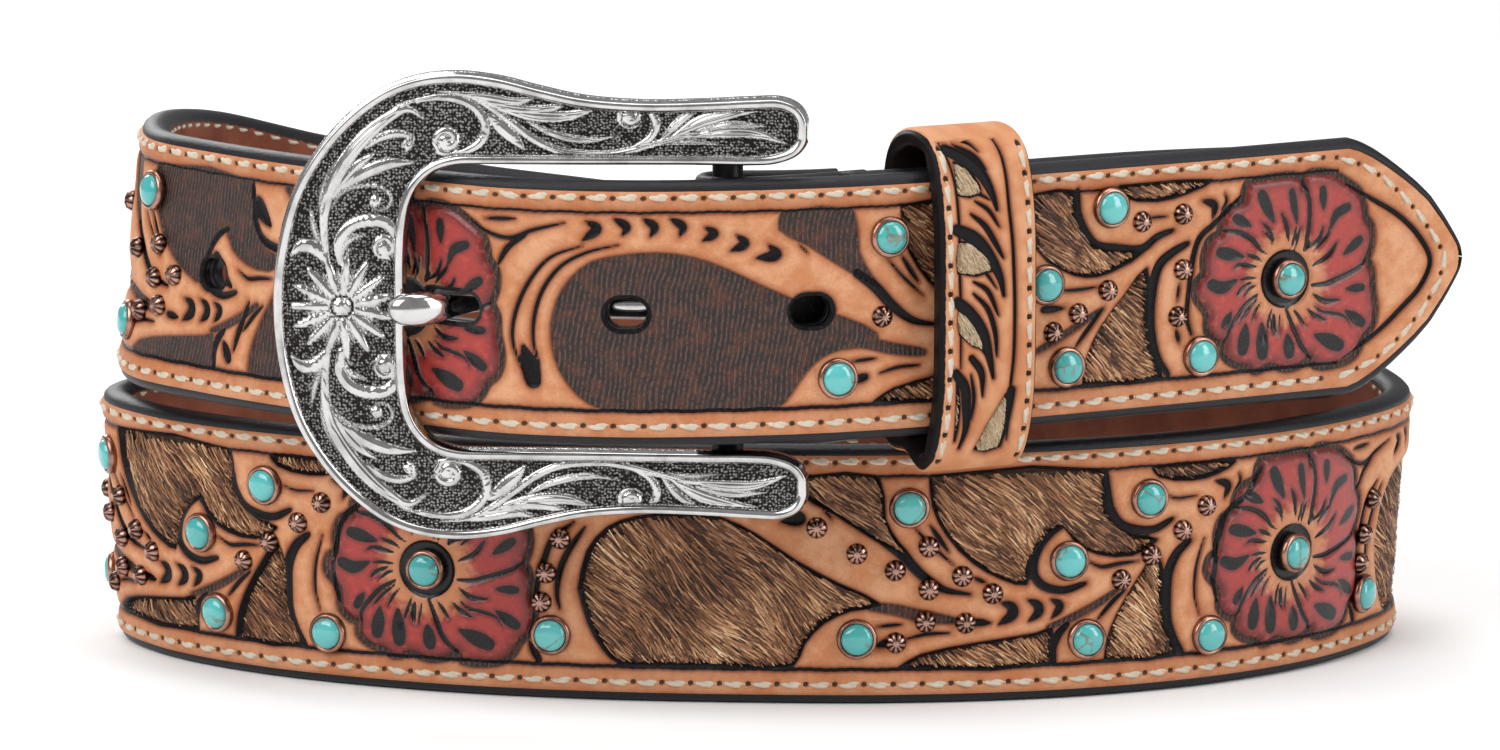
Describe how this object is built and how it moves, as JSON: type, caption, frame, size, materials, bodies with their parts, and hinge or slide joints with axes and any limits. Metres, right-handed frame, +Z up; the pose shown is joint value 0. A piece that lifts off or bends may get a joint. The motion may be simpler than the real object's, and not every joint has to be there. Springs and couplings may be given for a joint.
{
  "type": "western tooled belt",
  "caption": "Tooled western belt coiled twice and standing on its edge, with hair-on inlay, turquoise studs and an engraved silver horseshoe buckle.",
  "frame": {"origin": "middle of the box round the belt, on the surface it stands on", "axes": "+X along the front of the coil towards the tip side, +Y towards the back, +Z up; the buckle faces -Y"},
  "size_m": [0.2026, 0.1448, 0.0942],
  "materials": {
    "lining_leather": "smooth matt",
    "tooled_leather": "satin, tooled and dyed",
    "hair_on_hide": "short brindle hair",
    "blond_hide": "short blond hair",
    "silver": "polished relief, darkened ground",
    "turquoise": "polished stone in copper cups"
  },
  "bodies": {
    "root": {"strap_base": "lining_leather", "hide_inlay": "hair_on_hide", "strap_skin": "tooled_leather", "buckle_frame": "silver", "buckle_prong": "silver", "keeper_base": "lining_leather", "keeper_hide": "blond_hide", "keeper_skin": "tooled_leather", "turquoise_stud_01": "turquoise", "turquoise_stud_02": "turquoise", "turquoise_stud_03": "turquoise", "turquoise_stud_04": "turquoise", "turquoise_stud_05": "turquoise", "turquoise_stud_06": "turquoise", "turquoise_stud_07": "turquoise", "turquoise_stud_08": "turquoise", "turquoise_stud_09": "turquoise", "turquoise_stud_10": "turquoise", "turquoise_stud_11": "turquoise", "turquoise_stud_12": "turquoise", "turquoise_stud_13": "turquoise", "turquoise_stud_14": "turquoise", "turquoise_stud_15": "turquoise", "turquoise_stud_16": "turquoise", "turquoise_stud_17": "turquoise", "turquoise_stud_18": "turquoise", "turquoise_stud_19": "turquoise", "turquoise_stud_20": "turquoise", "turquoise_stud_21": "turquoise", "turquoise_stud_22": "turquoise", "turquoise_stud_23": "turquoise", "turquoise_stud_24": "turquoise", "turquoise_stud_25": "turquoise", "turquoise_stud_26": "turquoise", "turquoise_stud_27": "turquoise", "turquoise_stud_28": "turquoise", "turquoise_stud_29": "turquoise", "turquoise_stud_30": "turquoise", "turquoise_stud_31": "turquoise", "turquoise_stud_32": "turquoise", "turquoise_stud_33": "turquoise", "turquoise_stud_34": "turquoise", "turquoise_stud_35": "turquoise", "turquoise_stud_36": "turquoise", "turquoise_stud_37": "turquoise", "turquoise_stud_38": "turquoise", "turquoise_stud_39": "turquoise", "turquoise_stud_40": "turquoise"}
  },
  "joints": []
}
